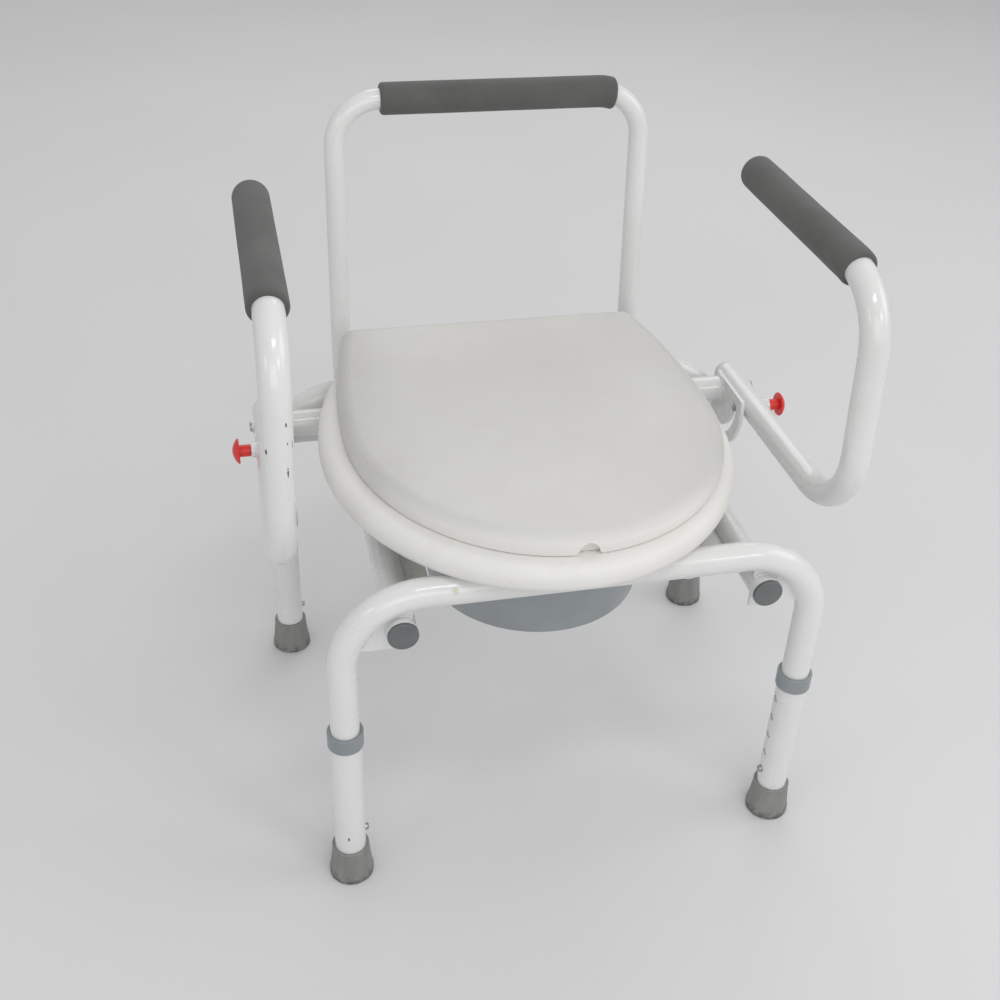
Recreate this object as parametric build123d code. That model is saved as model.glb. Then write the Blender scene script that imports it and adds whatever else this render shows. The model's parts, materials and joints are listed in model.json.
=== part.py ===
from build123d import *
from math import asin, cos, radians, sin, tan
import os

# Drop-arm commode chair: bent steel tube frame, four height-adjustable legs, two arms that swing down,
# a hinged seat ring with a hinged lid, and a pail that slides out to the rear.
# Millimetres. +Z up, +Y towards the backrest, +X to the right as seen from the front.
# The origin is on the floor, under the middle of the overall footprint.

os.makedirs("parts", exist_ok=True)

# ---- driving dimensions ----------------------------------------------------------------------------
tube_od = 28.0           # frame, rail and arm tube
tube_wall = 1.5
front_y = -222.0         # plane of the front U frame
rear_y = 142.0           # plane of the rear U frame
front_half = 227.5       # leg centre to chair centre, front
rear_half = 258.0        # the same at the rear, where the frame is wider
frame_top_z = 352.0      # centreline of the top tubes
frame_bend_r = 78.0

rail_x = 173.0
rail_z = 316.0
rail_front_y = -234.0
rail_rear_y = 170.0
gusset_t = 3.0
gusset_inner_x = 162.0
gusset_low_z = 292.5

leg_end_z = 46.0         # lower end of the frame legs, inside the sleeves
sleeve_od = 31.0
sleeve_id = 28.6
sleeve_low_z = 8.0
sleeve_top_z = 193.0
hole_pitch = 25.4
hole_count = 5
hole_low_z = 60.0
hole_dia = 8.0
button_dia = 7.2
foot_base_r = 22.2
foot_top_r = 18.0
foot_h = 40.0
collar_od = 34.8
collar_low_z = 179.5
collar_top_z = 197.5

pivot_y = 101.0          # arm pivot, on the axis of the cross tube
pivot_z = 342.0
pin_radius = 47.0        # plunger pin to pivot
plate_in_x = 247.5
plate_t = 4.0
plate_r = 65.0
plate_reach = 16.0       # how far the plate runs above and behind the pivot
slot_w = 9.0
arm_drop = 90.0

bolt_dia = 8.0
bolt_out = 286.0         # outer face of the pivot bolt's head
arm_low_x = 272.2        # the lower bar runs slightly inwards to the rear
arm_end_x = 267.6
arm_top_x = 264.7
arm_front_y = -178.7     # corner of the arm at the bottom front
arm_top_front_y = -170.3
arm_top_z = 588.0
arm_back_y = 128.0
arm_end_y = 131.0
arm_bend_low = 78.0
arm_bend_top = 65.0
grip_od = 37.0
grip_start = 0.86        # share of the top bend left bare by the foam

knob_head_r = 13.2
knob_shaft_r = 6.3
knob_out_x = 306.6
knob_head_t = 7.4
pin_dia = 8.0

back_od = 22.0
back_low = (173.0, 227.0, 316.0)
back_top = (169.2, 246.0, 642.0)
back_plug_y = 112.0
back_bend = 50.0
back_grip_od = 33.5
back_grip_x = -120.0     # left end of the foam
back_grip_turn = 0.24    # share of the right bend it covers
back_button_y = 156.0
back_button_dia = 6.0

seat_x = -11.0           # the hinges and lid sit a little to one side on the tubes
ring_x = -17.0           # the ring sits a little further over, by the play in its clips
seat_mid_y = -32.0       # where the seat is widest
seat_half = 206.0
seat_front = 237.0
seat_rear = 278.0
seat_cut_y = 156.0
seat_low_z = 368.0
seat_top_z = 395.0
seat_top_r = 14.0        # rounding of the ring's edges
seat_low_r = 10.0
lid_half = 188.0
lid_front = 218.0
lid_rear = 436.0
lid_cut_y = 175.0
lid_low_z = 395.5
lid_top_z = 415.5
lid_top_r = 14.0
lid_low_r = 1.5
notch_half = 9.5         # half width of the thumb notch
notch_rise = 12.0
notch_depth = 7.0
hinge_y = 170.0
hinge_z = 381.0
hinge_spread = 95.0

pail_y = -23.0
pail_base_r = 113.0
pail_base_z = 208.0
pail_top_r = 134.0
pail_rim_r = 142.0
pail_rim_z = 316.4


# ---- helpers ---------------------------------------------------------------------------------------
def save(name, shape):
    """Write one named piece; a list becomes one group of separate solids."""
    if isinstance(shape, (list, tuple)):
        solids = [s for item in shape for s in item.solids()]
    else:
        solids = list(shape.solids())
    for solid in solids:
        solid.label = name
    whole = solids[0] if len(solids) == 1 else Compound(children=solids)
    whole.label = name
    export_step(whole, f"parts/{name}.step")


def rounded_path(points, radii):
    """Straight runs between the points, with an arc of the given radius at each inner corner."""
    pts = [Vector(*p) for p in points]
    edges = []
    start = pts[0]
    for i, radius in enumerate(radii, start=1):
        back = (pts[i - 1] - pts[i]).normalized()
        ahead = (pts[i + 1] - pts[i]).normalized()
        half = radians(back.get_angle(ahead)) / 2
        reach = radius / tan(half)
        centre = pts[i] + (back + ahead).normalized() * (radius / sin(half))
        first = pts[i] + back * reach
        last = pts[i] + ahead * reach
        middle = centre + (pts[i] - centre).normalized() * radius
        edges.append(Edge.make_line(start, first))
        edges.append(Edge.make_three_point_arc(first, middle, last))
        start = last
    edges.append(Edge.make_line(start, pts[-1]))
    return Wire(edges)


def swept(path, diameter):
    """A round bar along a path."""
    plane = Plane(origin=path @ 0, z_dir=path % 0)
    return sweep(plane * Circle(diameter / 2), path=path)


def pipe(path, diameter, bore):
    return swept(path, diameter) - swept(path, bore)


def rod(start, end, diameter):
    """A round bar from one point to another."""
    a = Vector(*start)
    b = Vector(*end)
    plane = Plane(origin=a, z_dir=(b - a).normalized())
    return extrude(plane * Circle(diameter / 2), amount=(b - a).length)


def tube(start, end, diameter, bore):
    return rod(start, end, diameter) - rod(start, end, bore)


def block(x, y, z):
    """A box from ranges on the three axes."""
    size = (x[1] - x[0], y[1] - y[0], z[1] - z[0])
    return Pos((x[0] + x[1]) / 2, (y[0] + y[1]) / 2, (z[0] + z[1]) / 2) * Box(*size)


def mirrored(shape):
    return mirror(shape, about=Plane.YZ)


def d_outline(mid_x, half, front, rear, cut_y, corner, inset=0.0):
    """Seat outline: a half ellipse to the front, a longer one to the rear, cut straight across the back."""
    a = half - inset
    f = front - inset
    r = rear - inset
    cut = cut_y - seat_mid_y - inset
    front_half_face = Ellipse(a, f) & Pos(0, -f / 2) * Rectangle(2 * a + 2, f)
    rear_half_face = Ellipse(a, r) & Pos(0, cut / 2) * Rectangle(2 * a + 2, cut)
    face = front_half_face + rear_half_face
    ends = [v for v in face.vertices() if abs(v.Y - cut) < 0.01]
    face = fillet(ends, corner)
    return Pos(mid_x, seat_mid_y) * face


def ring_arc(radius, width, start, end):
    """A curved slot outline about the origin, with round ends (angles in degrees)."""
    path = CenterArc((0, 0), radius, start, end - start)
    ends = [Location(path @ t) * Circle(width / 2) for t in (0, 1)]
    return trace(path, line_width=width) + ends


def plate_yz(face, x0, thick):
    """Extrude a sketch drawn in (y, z) along +X from x0."""
    return extrude(Plane(origin=(x0, 0, 0), x_dir=(0, 1, 0), z_dir=(1, 0, 0)) * face, amount=thick)


# ---- main frame ------------------------------------------------------------------------------------
def u_frame(half, y):
    path = rounded_path(
        [(-half, y, leg_end_z), (-half, y, frame_top_z), (half, y, frame_top_z), (half, y, leg_end_z)],
        [frame_bend_r, frame_bend_r],
    )
    frame = pipe(path, tube_od, tube_od - 2 * tube_wall)
    for side in (-1, 1):
        x = side * half
        frame -= rod((x, y, hole_low_z), (x - side * 30, y, hole_low_z), hole_dia)
    return frame, path


def gusset(half, y, solid_u):
    """Flat plate closing the inside of one top corner; the side rail passes through it."""
    plate = block((gusset_inner_x, half), (y - gusset_t / 2, y + gusset_t / 2), (gusset_low_z, frame_top_z))
    pieces = (plate - solid_u).solids()
    inside = Vector(gusset_inner_x, y, gusset_low_z)
    plate = min(pieces, key=lambda piece: (piece.center() - inside).length)
    plate -= rod((rail_x, y - 10, rail_z), (rail_x, y + 10, rail_z), tube_od)
    return plate


front_frame, front_path = u_frame(front_half, front_y)
rear_frame, rear_path = u_frame(rear_half, rear_y)
front_gusset = gusset(front_half, front_y, swept(front_path, tube_od))
rear_gusset = gusset(rear_half, rear_y, swept(rear_path, tube_od))

rail_r = tube(
    (rail_x, rail_front_y, rail_z), (rail_x, rail_rear_y, rail_z), tube_od, tube_od - 2 * tube_wall
)
rail_r -= rod((rail_x, back_button_y, rail_z), (rail_x, back_button_y, rail_z - 30), 6.4)

cap_head = Pos(rail_x, rail_front_y - 2.0, rail_z) * Rot(90, 0, 0) * Cylinder(tube_od / 2 + 0.3, 4.0)
cap_head = fillet(cap_head.edges().filter_by(GeomType.CIRCLE).sort_by(Axis.Y)[0], 1.6)
cap_stem = rod((rail_x, rail_front_y, rail_z), (rail_x, rail_front_y + 16, rail_z), tube_od - 2 * tube_wall)
end_cap = cap_head + cap_stem

cross_bar = tube(
    (-plate_in_x, pivot_y, pivot_z), (plate_in_x, pivot_y, pivot_z), tube_od, tube_od - 2 * tube_wall
)
for side in (-1, 1):
    cross_bar -= rod((side * rail_x, 20, rail_z), (side * rail_x, 165, rail_z), tube_od)

# latch plate: a rounded sector about the pivot with an arc slot for the plunger pin
plate_side = plate_r + plate_reach
plate_shift = (plate_reach - plate_r) / 2
sector = Circle(plate_r) & Pos(plate_shift, plate_shift) * Rectangle(plate_side, plate_side)
sector = fillet(sector.vertices(), 4.0)
slot = ring_arc(pin_radius, slot_w, 180.0, 270.0)
bolt_hole = Circle(bolt_dia / 2 + 0.05)
plate_face = sector - slot - bolt_hole
latch_plate = plate_yz(Pos(pivot_y, pivot_z) * plate_face, plate_in_x, plate_t)

# pivot bolt, welded spacer and nut
bush_in = 253.4
bush_out = 283.4
head_t = 2.2
nut_t = 6.5
bolt_head = rod((bolt_out - head_t, pivot_y, pivot_z), (bolt_out, pivot_y, pivot_z), 11.0)
bolt_head = fillet(bolt_head.edges().filter_by(GeomType.CIRCLE).sort_by(Axis.X)[-1], 1.2)
bolt_end = plate_in_x - nut_t - 3.0
pivot_bolt = bolt_head + rod((bolt_end, pivot_y, pivot_z), (bolt_out - head_t, pivot_y, pivot_z), bolt_dia)
nut_face = RegularPolygon(7.5, 6) - Circle(bolt_dia / 2)
pivot_nut = plate_yz(Pos(pivot_y, pivot_z) * nut_face, plate_in_x - nut_t, nut_t)
pivot_washer = tube((plate_in_x + plate_t, pivot_y, pivot_z), (bush_in - 0.4, pivot_y, pivot_z), 17.0, bolt_dia)

# backrest: a U of lighter tube whose ends bend forward and plug into the rails
low_l = (-back_low[0], back_low[1], back_low[2])
top_l = (-back_top[0], back_top[1], back_top[2])
plug_r = (back_low[0], back_plug_y, back_low[2])
plug_l = (-back_low[0], back_plug_y, back_low[2])
back_path = rounded_path([plug_l, low_l, top_l, back_top, back_low, plug_r], [45.0, back_bend, back_bend, 45.0])
backrest = pipe(back_path, back_od, back_od - 2.4)
for side in (-1, 1):
    x = side * rail_x
    backrest -= rod((x, back_button_y, rail_z), (x, back_button_y, rail_z - 30), back_button_dia)

bar_grip_path = rounded_path([(back_grip_x, back_top[1], back_top[2]), back_top, back_low], [back_bend])
grip_edges = bar_grip_path.edges()
straight = Edge.make_line(grip_edges[0] @ 0, grip_edges[0] @ 1)
part_bend = grip_edges[1].trim(0.0, back_grip_turn)
back_grip_path = Wire([straight, part_bend])
back_grip = swept(back_grip_path, back_grip_od) - swept(back_grip_path, back_od)

rear_bush = tube((rail_x, 122.0, rail_z), (rail_x, rail_rear_y, rail_z), tube_od - 2 * tube_wall, back_od)
rear_bush += tube((rail_x, rail_rear_y, rail_z), (rail_x, rail_rear_y + 3, rail_z), tube_od, back_od)
rear_bush -= rod((rail_x, back_button_y, rail_z), (rail_x, back_button_y, rail_z - 30), 6.4)


def snap_clip(centre, tilt, bore, button, reach, dome):
    """V-shaped leaf spring inside a tube with one round button that sticks out of the wall."""
    leaf_t = 0.8
    arm_l = 22.0
    inner = bore / 2 - 0.4
    pts = [(inner - 1.2, 6.0), (inner - 1.2, -4.0), (0.0, arm_l), (-inner + 1.2, -4.0), (-inner + 1.2, 6.0)]
    line = Polyline(*[(x, -y) for x, y in pts])
    leaf = extrude(Plane.XZ * trace(line, line_width=leaf_t), amount=4.0, both=True)
    knob = rod((inner - 1.6, 0, 0), (reach, 0, 0), button)
    knob = fillet(knob.edges().filter_by(GeomType.CIRCLE).sort_by(Axis.X)[-1], dome)
    return Pos(*centre) * Rot(*tilt) * (leaf + knob)


button_reach = sleeve_od / 2 + 3.6
clips = {}
for name, side, half, y in (
    ("fl", -1, front_half, front_y),
    ("fr", 1, front_half, front_y),
    ("rl", -1, rear_half, rear_y),
    ("rr", 1, rear_half, rear_y),
):
    turn = 0 if side < 0 else 180
    clips[name] = snap_clip(
        (side * half, y, hole_low_z), (180, 0, turn), tube_od - 2 * tube_wall, button_dia, button_reach, 2.4
    )

back_clip = [
    rod((x, back_button_y, rail_z - 8.6), (x, back_button_y, rail_z - 16.6), back_button_dia)
    for x in (-rail_x, rail_x)
]

# hinge brackets on the rear tube, with the hinge pins
def hinge_bracket(x):
    hub = Pos(hinge_y, hinge_z) * Circle(7.0)
    web = make_face(Polyline(
        (rear_y + 4.0, frame_top_z - 16.5), (rear_y + 15.5, frame_top_z - 12.0), (hinge_y + 6.6, hinge_z - 2.4),
        (hinge_y - 6.0, hinge_z - 3.6), (rear_y + 15.2, frame_top_z + 8.0), (rear_y + 8.0, frame_top_z + 6.0),
        (rear_y + 4.0, frame_top_z - 16.5),
    ))
    face = hub + web - Pos(rear_y, frame_top_z) * Circle(tube_od / 2) - Pos(hinge_y, hinge_z) * Circle(3.0)
    return plate_yz(face, x - 6.0, 12.0)


hinge_xs = [seat_x - hinge_spread, seat_x + hinge_spread]
brackets = [hinge_bracket(x) for x in hinge_xs]
hinge_pins = [rod((x - 19.5, hinge_y, hinge_z), (x + 19.5, hinge_y, hinge_z), 6.0) for x in hinge_xs]

# pail guides: angle strips along the insides of the rails, each held by two screws
guide = block((137.0, rail_x - 14.2), (-172.0, 76.0), (312.4, 316.0))
guide += block((rail_x - 17.2, rail_x - 14.2), (-172.0, 76.0), (304.0, 316.0))
guide -= rod((rail_x, -240, rail_z), (rail_x, 170, rail_z), tube_od)
screw_ys = (-150.0, 54.0)
screw_z = 308.5
screws = []
rail_holes = []
for y in screw_ys:
    shank = rod((rail_x - 17.2, y, screw_z), (rail_x - 10.0, y, screw_z), 4.0)
    head = Pos(rail_x - 18.3, y, screw_z) * Rot(0, 90, 0) * Cylinder(3.6, 2.2)
    head = fillet(head.edges().filter_by(GeomType.CIRCLE).sort_by(Axis.X)[0], 1.2)
    screws.append(shank + head)
    rail_holes.append(rod((rail_x - 19.0, y, screw_z), (rail_x - 8.0, y, screw_z), 4.0))
for cut in rail_holes:
    guide -= cut
    rail_r -= cut

save("front_frame", front_frame)
save("rear_frame", rear_frame)
save("front_gussets", [mirrored(front_gusset), front_gusset])
save("rear_gussets", [mirrored(rear_gusset), rear_gusset])
save("side_rail_right", rail_r)
save("side_rail_left", mirrored(rail_r))
save("rail_end_caps", [mirrored(end_cap), end_cap])
save("rail_rear_bushes", [mirrored(rear_bush), rear_bush])
save("pivot_cross_tube", cross_bar)
save("latch_plate_right", latch_plate)
save("latch_plate_left", mirrored(latch_plate))
save("pivot_bolts", [mirrored(pivot_bolt), pivot_bolt])
save("pivot_nuts", [mirrored(pivot_nut), pivot_nut])
save("pivot_washers", [mirrored(pivot_washer), pivot_washer])
save("backrest_tube", backrest)
save("backrest_grip", back_grip)
save("backrest_buttons", back_clip)
save("hinge_brackets", brackets)
save("hinge_pins", hinge_pins)
save("pail_guides", [mirrored(guide), guide])
save("guide_screws", screws + [mirrored(s) for s in screws])
for name, clip in clips.items():
    save(f"snap_button_{name}", clip)

# ---- legs: sleeve, collar and rubber foot ----------------------------------------------------------
for name, side, half, y in (
    ("fl", -1, front_half, front_y),
    ("fr", 1, front_half, front_y),
    ("rl", -1, rear_half, rear_y),
    ("rr", 1, rear_half, rear_y),
):
    x = side * half
    sleeve = tube((x, y, sleeve_low_z), (x, y, sleeve_top_z), sleeve_od, sleeve_id)
    for k in range(hole_count):
        z = hole_low_z + k * hole_pitch
        sleeve -= rod((x, y, z), (x - side * 30, y, z), hole_dia)
    body = Pos(x, y, 0) * Cylinder(collar_od / 2, collar_top_z - collar_low_z, align=(
        Align.CENTER, Align.CENTER, Align.MIN)).moved(Location((0, 0, collar_low_z)))
    body = fillet(body.edges().filter_by(GeomType.CIRCLE), 1.2)
    collar = body - rod((x, y, collar_low_z - 1), (x, y, sleeve_top_z), sleeve_od)
    collar -= rod((x, y, sleeve_top_z - 1), (x, y, collar_top_z + 1), sleeve_id)
    profile = make_face(Polyline(
        (0, 0), (foot_base_r - 1.2, 0), (foot_base_r, 1.2), (foot_base_r, 7.0), (foot_base_r - 0.9, 10.0),
        (foot_top_r + 0.7, foot_h - 6.0), (foot_top_r + 0.7, foot_h - 1.0), (foot_top_r - 0.3, foot_h),
        (sleeve_od / 2, foot_h), (sleeve_od / 2, sleeve_low_z), (0, sleeve_low_z), (0, 0),
    ))
    foot = Pos(x, y, 0) * revolve(Plane.XZ * profile, axis=Axis.Z)
    save(f"leg_sleeve_{name}", sleeve)
    save(f"leg_collar_{name}", collar)
    save(f"foot_{name}", foot)

# ---- arms ------------------------------------------------------------------------------------------
arm_path = rounded_path(
    [
        (arm_end_x, arm_end_y, pivot_z),
        (arm_low_x, arm_front_y, pivot_z),
        (arm_top_x, arm_top_front_y, arm_top_z),
        (arm_top_x, arm_back_y, arm_top_z),
    ],
    [arm_bend_low, arm_bend_top],
)
pin_y = pivot_y - pin_radius
pivot_at = (pivot_y, pivot_z)
pin_at = (pin_y, pivot_z)
barrel_in = 252.4
barrel_out = 287.0
arm = pipe(arm_path, tube_od, tube_od - 2 * tube_wall)
arm -= rod((240, *pivot_at), (310, *pivot_at), 14.0)
arm -= rod((240, *pin_at), (310, *pin_at), 16.0)
bush = tube((bush_in, *pivot_at), (bush_out, *pivot_at), 14.0, bolt_dia + 0.1)
barrel = rod((barrel_in, *pin_at), (barrel_out, *pin_at), 16.0)
barrel -= rod((barrel_in - 1, *pin_at), (barrel_out + 1, *pin_at), pin_dia + 0.1)
barrel -= rod((barrel_in + 3, *pin_at), (barrel_out - 3, *pin_at), 13.0)

plug_h = 9.0
plug_stem = 10.0
dome = Sphere(tube_od / 2) & Pos(0, 0, plug_h / 2) * Box(2 * tube_od, 2 * tube_od, plug_h)
stem = Pos(0, 0, -plug_stem / 2) * Cylinder(tube_od / 2 - tube_wall, plug_stem)
end_plug = Plane(origin=arm_path @ 0, z_dir=(arm_path % 0) * -1) * (dome + stem)

grip_back = arm_back_y + 3.4
arm_edges = arm_path.edges()
top_run = arm_edges[4]
top_bend = arm_edges[3]
bend_part = top_bend.trim(grip_start, 1.0)
grip_path = Wire([bend_part, Edge.make_line(bend_part @ 1, Vector(arm_top_x, grip_back, arm_top_z))])
arm_grip = swept(grip_path, grip_od)
arm_grip = fillet(arm_grip.edges().filter_by(GeomType.CIRCLE).sort_by(Axis.Y)[-1], 5.0)
arm_grip -= swept(arm_path, tube_od)

# plunger: red knob, pin with a collar, coil spring round the pin
head_in = knob_out_x - knob_head_t
dome_edge_r = knob_head_r - 0.5
pin_end = knob_out_x - 5.0
pin_tip = 245.0
rim_t = 2.2
dome_rise = knob_head_t - rim_t
dome_r = (dome_edge_r ** 2 + dome_rise ** 2) / (2 * dome_rise)
dome_mid = 0.5 * asin(dome_edge_r / dome_r)
dome_x = knob_out_x - dome_r
knob_profile = make_face([
    Line((0, barrel_out + 0.4), (knob_shaft_r, barrel_out + 0.4)),
    Line((knob_shaft_r, barrel_out + 0.4), (knob_shaft_r, head_in)),
    Line((knob_shaft_r, head_in), (knob_head_r - 0.8, head_in)),
    ThreePointArc((knob_head_r - 0.8, head_in), (knob_head_r, head_in + 1.0), (dome_edge_r, head_in + rim_t)),
    ThreePointArc(
        (dome_edge_r, knob_out_x - dome_rise),
        (dome_r * sin(dome_mid), dome_x + dome_r * cos(dome_mid)),
        (0, knob_out_x),
    ),
    Line((0, knob_out_x), (0, barrel_out + 0.4)),
])
axis_plane = Plane(origin=(0, *pin_at), x_dir=(0, 1, 0), z_dir=(0, 0, -1))
knob = revolve(axis_plane * knob_profile, axis=Axis((0, *pin_at), (1, 0, 0)))
knob -= rod((barrel_out, *pin_at), (pin_end, *pin_at), pin_dia)
pin = rod((pin_tip, *pin_at), (pin_end, *pin_at), pin_dia)
pin = chamfer(pin.edges().filter_by(GeomType.CIRCLE).sort_by(Axis.X)[0], 1.2)
pin += rod((barrel_in + 3.2, *pin_at), (barrel_in + 5.4, *pin_at), 12.4)
spring_in = barrel_in + 6.0
spring_out = barrel_out - 3.6
coil_line = Plane(origin=(spring_in, *pin_at), z_dir=(1, 0, 0)) * Helix(
    (spring_out - spring_in) / 7.0, spring_out - spring_in, 5.2
)
coil_start = Plane(origin=coil_line @ 0, z_dir=coil_line % 0)
spring = sweep(coil_start * Circle(0.5), path=coil_line, is_frenet=True)

for side_name, flip in (("right", False), ("left", True)):
    for name, shape in (
        ("arm_tube", arm),
        ("arm_grip", arm_grip),
        ("arm_end_plug", end_plug),
        ("pivot_bush", bush),
        ("plunger_barrel", barrel),
        ("knob", knob),
        ("plunger_pin", pin),
        ("plunger_spring", spring),
    ):
        save(f"{name}_{side_name}", mirrored(shape) if flip else shape)

# ---- seat ring and lid -----------------------------------------------------------------------------
hole_mid_y = -32.0
hole_a = 97.0
hole_b = 128.0
outline = d_outline(ring_x, seat_half, seat_front, seat_rear, seat_cut_y, 24.0)
opening = Pos(ring_x, hole_mid_y) * Ellipse(hole_a, hole_b)
seat_h = seat_top_z - seat_low_z
ring = extrude(Pos(0, 0, seat_low_z) * outline, amount=seat_h)
ring -= extrude(Pos(0, 0, seat_low_z - 1) * opening, amount=seat_h + 2)
top_edges = ring.edges().filter_by(lambda e: abs(e.center().Z - seat_top_z) < 0.01)
ring = fillet(top_edges, seat_top_r)
low_edges = ring.edges().filter_by(lambda e: abs(e.center().Z - seat_low_z) < 0.01)
ring = fillet(low_edges, seat_low_r)
pocket_out = d_outline(ring_x, seat_half, seat_front, seat_rear, seat_cut_y, 12.0, inset=13.0)
pocket_in = Pos(ring_x, hole_mid_y) * Ellipse(hole_a + 13, hole_b + 13)
ring -= extrude(Pos(0, 0, seat_low_z - 1) * (pocket_out - pocket_in), amount=seat_h - 3.0)


def knuckle(x0, x1, top_z, edge_y):
    """Hinge eye joined to the panel above or in front of it."""
    eye = Circle(6.4)
    link = make_face(Polyline(
        (edge_y - hinge_y, top_z[0] - hinge_z), (edge_y - hinge_y, top_z[1] - hinge_z), (4.0, top_z[1] - hinge_z),
        (5.0, 4.0), (5.0, -4.0), (-5.0, -4.0), (edge_y - hinge_y, top_z[0] - hinge_z),
    ))
    face = Pos(hinge_y, hinge_z) * (eye + link - Circle(3.05))
    return plate_yz(face, x0, x1 - x0)


for x in hinge_xs:
    ring += knuckle(x - 18.5, x - 6.5, (372.0, 385.0), seat_cut_y - 6.0)

bumpers = []
for y, diameter, spread in ((front_y, 14.0, 55.0), (rear_y - 7.0, 12.0, 60.0)):
    for x in (seat_x - spread, seat_x + spread):
        foot_z = frame_top_z + tube_od / 2 + 0.3
        bumpers.append(rod((x, y, foot_z), (x, y, seat_top_z - 4.0), diameter))

lid_face = d_outline(seat_x, lid_half, lid_front, lid_rear, lid_cut_y, 16.0)
lid_h = lid_top_z - lid_low_z
lid = extrude(Pos(0, 0, lid_low_z) * lid_face, amount=lid_h)
lid = fillet(lid.edges().filter_by(lambda e: abs(e.center().Z - lid_top_z) < 0.01), lid_top_r)
lid = fillet(lid.edges().filter_by(lambda e: abs(e.center().Z - lid_low_z) < 0.01), lid_low_r)
lid_solid = lid
lid_pocket = d_outline(seat_x, lid_half, lid_front, lid_rear, lid_cut_y, 10.0, inset=8.0)
lid -= extrude(Pos(0, 0, lid_low_z - 1) * lid_pocket, amount=lid_h - 3.0)
for x in hinge_xs:
    stem = Pos(-1.4, 10.0) * Rectangle(10.0, 20.0)
    tongue = Pos(hinge_y, hinge_z) * (Circle(6.4) + stem - Circle(3.05))
    lid += plate_yz(tongue, x + 6.5, 12.0)

# thumb notch: an arch in the front edge, with flared feet, and a solid wall behind it
edge_y = seat_mid_y - lid_front
backing = block(
    (seat_x - notch_half - 7.0, seat_x + notch_half + 7.0), (edge_y - 1.0, edge_y + notch_depth + 3.0),
    (lid_low_z, lid_top_z),
)
flare = 4.5
foot_x = notch_half + flare
arch = make_face([
    Line((-foot_x, -2.0), (foot_x, -2.0)),
    Line((foot_x, -2.0), (foot_x, 0.0)),
    RadiusArc((foot_x, 0.0), (notch_half, flare), flare),
    ThreePointArc((notch_half, flare), (0.0, notch_rise), (-notch_half, flare)),
    RadiusArc((-notch_half, flare), (-foot_x, 0.0), flare),
    Line((-foot_x, 0.0), (-foot_x, -2.0)),
])
notch_plane = Plane(origin=(seat_x, edge_y - 2.0, lid_low_z), x_dir=(1, 0, 0), z_dir=(0, -1, 0))
notch = extrude(notch_plane * arch, amount=-(notch_depth + 2.0))
lid = lid + (lid_solid & backing) - notch

lid_pads = []
pad_xs = (seat_x - 139.0, seat_x + 139.0)
for px, py in [(x, y) for x in pad_xs for y in (-120.0, 60.0)]:
    lid_pads.append(rod((px, py, seat_top_z + 0.2), (px, py, lid_top_z - 4.0), 10.0))

save("seat_ring", ring)
save("seat_bumpers", bumpers)
save("lid", lid)
save("lid_bumpers", lid_pads)

# ---- pail ------------------------------------------------------------------------------------------
wall = 2.4
outer = make_face(Polyline(
    (0, pail_base_z), (pail_base_r - 5, pail_base_z), (pail_base_r, pail_base_z + 4), (pail_top_r, pail_rim_z),
    (pail_rim_r, pail_rim_z), (pail_rim_r, pail_rim_z + 3.4), (pail_top_r - wall, pail_rim_z + 3.4),
    (pail_base_r - wall, pail_base_z + 6), (pail_base_r - wall - 5, pail_base_z + wall), (0, pail_base_z + wall),
    (0, pail_base_z),
))
pail = Pos(0, pail_y, 0) * revolve(Plane.XZ * outer, axis=Axis.Z)
save("pail", pail)
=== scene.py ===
import json
from math import cos, pi, radians, sin, sqrt, tan

import bpy
from mathutils import Matrix, Vector, noise


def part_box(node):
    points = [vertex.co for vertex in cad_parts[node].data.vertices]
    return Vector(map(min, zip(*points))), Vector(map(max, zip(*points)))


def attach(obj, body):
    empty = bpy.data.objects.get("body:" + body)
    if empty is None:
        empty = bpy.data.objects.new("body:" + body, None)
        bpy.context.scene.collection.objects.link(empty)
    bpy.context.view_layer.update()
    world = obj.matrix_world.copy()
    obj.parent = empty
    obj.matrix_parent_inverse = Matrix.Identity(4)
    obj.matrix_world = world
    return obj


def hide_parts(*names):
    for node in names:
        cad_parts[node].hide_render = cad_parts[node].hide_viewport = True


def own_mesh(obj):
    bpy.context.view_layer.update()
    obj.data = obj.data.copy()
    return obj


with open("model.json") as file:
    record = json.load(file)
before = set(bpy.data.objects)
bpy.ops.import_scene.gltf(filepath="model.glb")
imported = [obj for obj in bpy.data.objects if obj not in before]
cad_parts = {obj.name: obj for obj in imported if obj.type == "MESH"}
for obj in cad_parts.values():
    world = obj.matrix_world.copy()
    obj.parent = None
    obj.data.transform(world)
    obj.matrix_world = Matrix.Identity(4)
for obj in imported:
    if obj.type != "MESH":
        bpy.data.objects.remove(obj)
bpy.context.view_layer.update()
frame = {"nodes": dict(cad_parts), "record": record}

# Looks for the drop-arm commode chair. Metres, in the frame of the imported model:
# +Z up, +Y towards the backrest, origin on the floor in the middle of the footprint.

NODES = frame["nodes"]

# ---- driving dimensions, as in the model ------------------------------------------------------------
TUBE_R = 0.014
FRONT_PLANE_Y = -0.222   # plane of the front U frame
FRONT_HALF = 0.2275      # leg centre to chair centre
REAR_PLANE_Y = 0.142
REAR_HALF = 0.258
FRAME_TOP_Z = 0.352      # centreline of the top tubes
FRAME_BEND = 0.078
GUSSET_HALF = 0.0015     # half the thickness of a gusset
SLEEVE_R = 0.0155
ARM_END = Vector((0.2676, 0.131, 0.342))
ARM_LOW_FRONT = Vector((0.2722, -0.1787, 0.342))
ARM_TOP_FRONT = Vector((0.2647, -0.1703, 0.588))
ARM_TOP_BACK = Vector((0.2647, 0.128, 0.588))
ARM_BEND = 0.065         # the upper bend
ARM_GRIP_R = 0.0185
ARM_GRIP_START = 0.86    # share of the upper bend left bare
BACK_TUBE_R = 0.011
BACK_GRIP_R = 0.01675
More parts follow.
